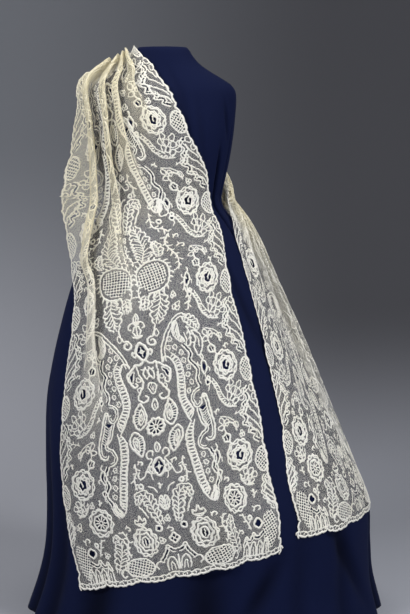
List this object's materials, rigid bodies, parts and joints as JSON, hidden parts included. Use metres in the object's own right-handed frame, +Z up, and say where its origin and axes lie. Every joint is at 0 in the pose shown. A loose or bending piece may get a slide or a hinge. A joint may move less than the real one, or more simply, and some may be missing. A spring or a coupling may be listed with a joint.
{
  "type": "lace shawl on a dress form",
  "caption": "Long lace stole with scalloped edges, pleated over one shoulder of a limbless floor-length dress form, across its back and down the other side.",
  "frame": {"origin": "on the floor at the middle of the form's flat base", "axes": "+Z up, -Y towards the front of the form, +X towards the side where the stole's second end hangs"},
  "size_m": [0.92, 0.75, 1.4359],
  "materials": {
    "lace": "matte cream cotton lace, tape motifs on a fine net",
    "form_cover": "matte navy plain-woven cotton"
  },
  "bodies": {
    "root": {"form_bust": "form_cover", "form_skirt": "form_cover", "shawl_front": "lace", "shawl_back": "lace", "shawl_side": "lace"}
  },
  "joints": []
}
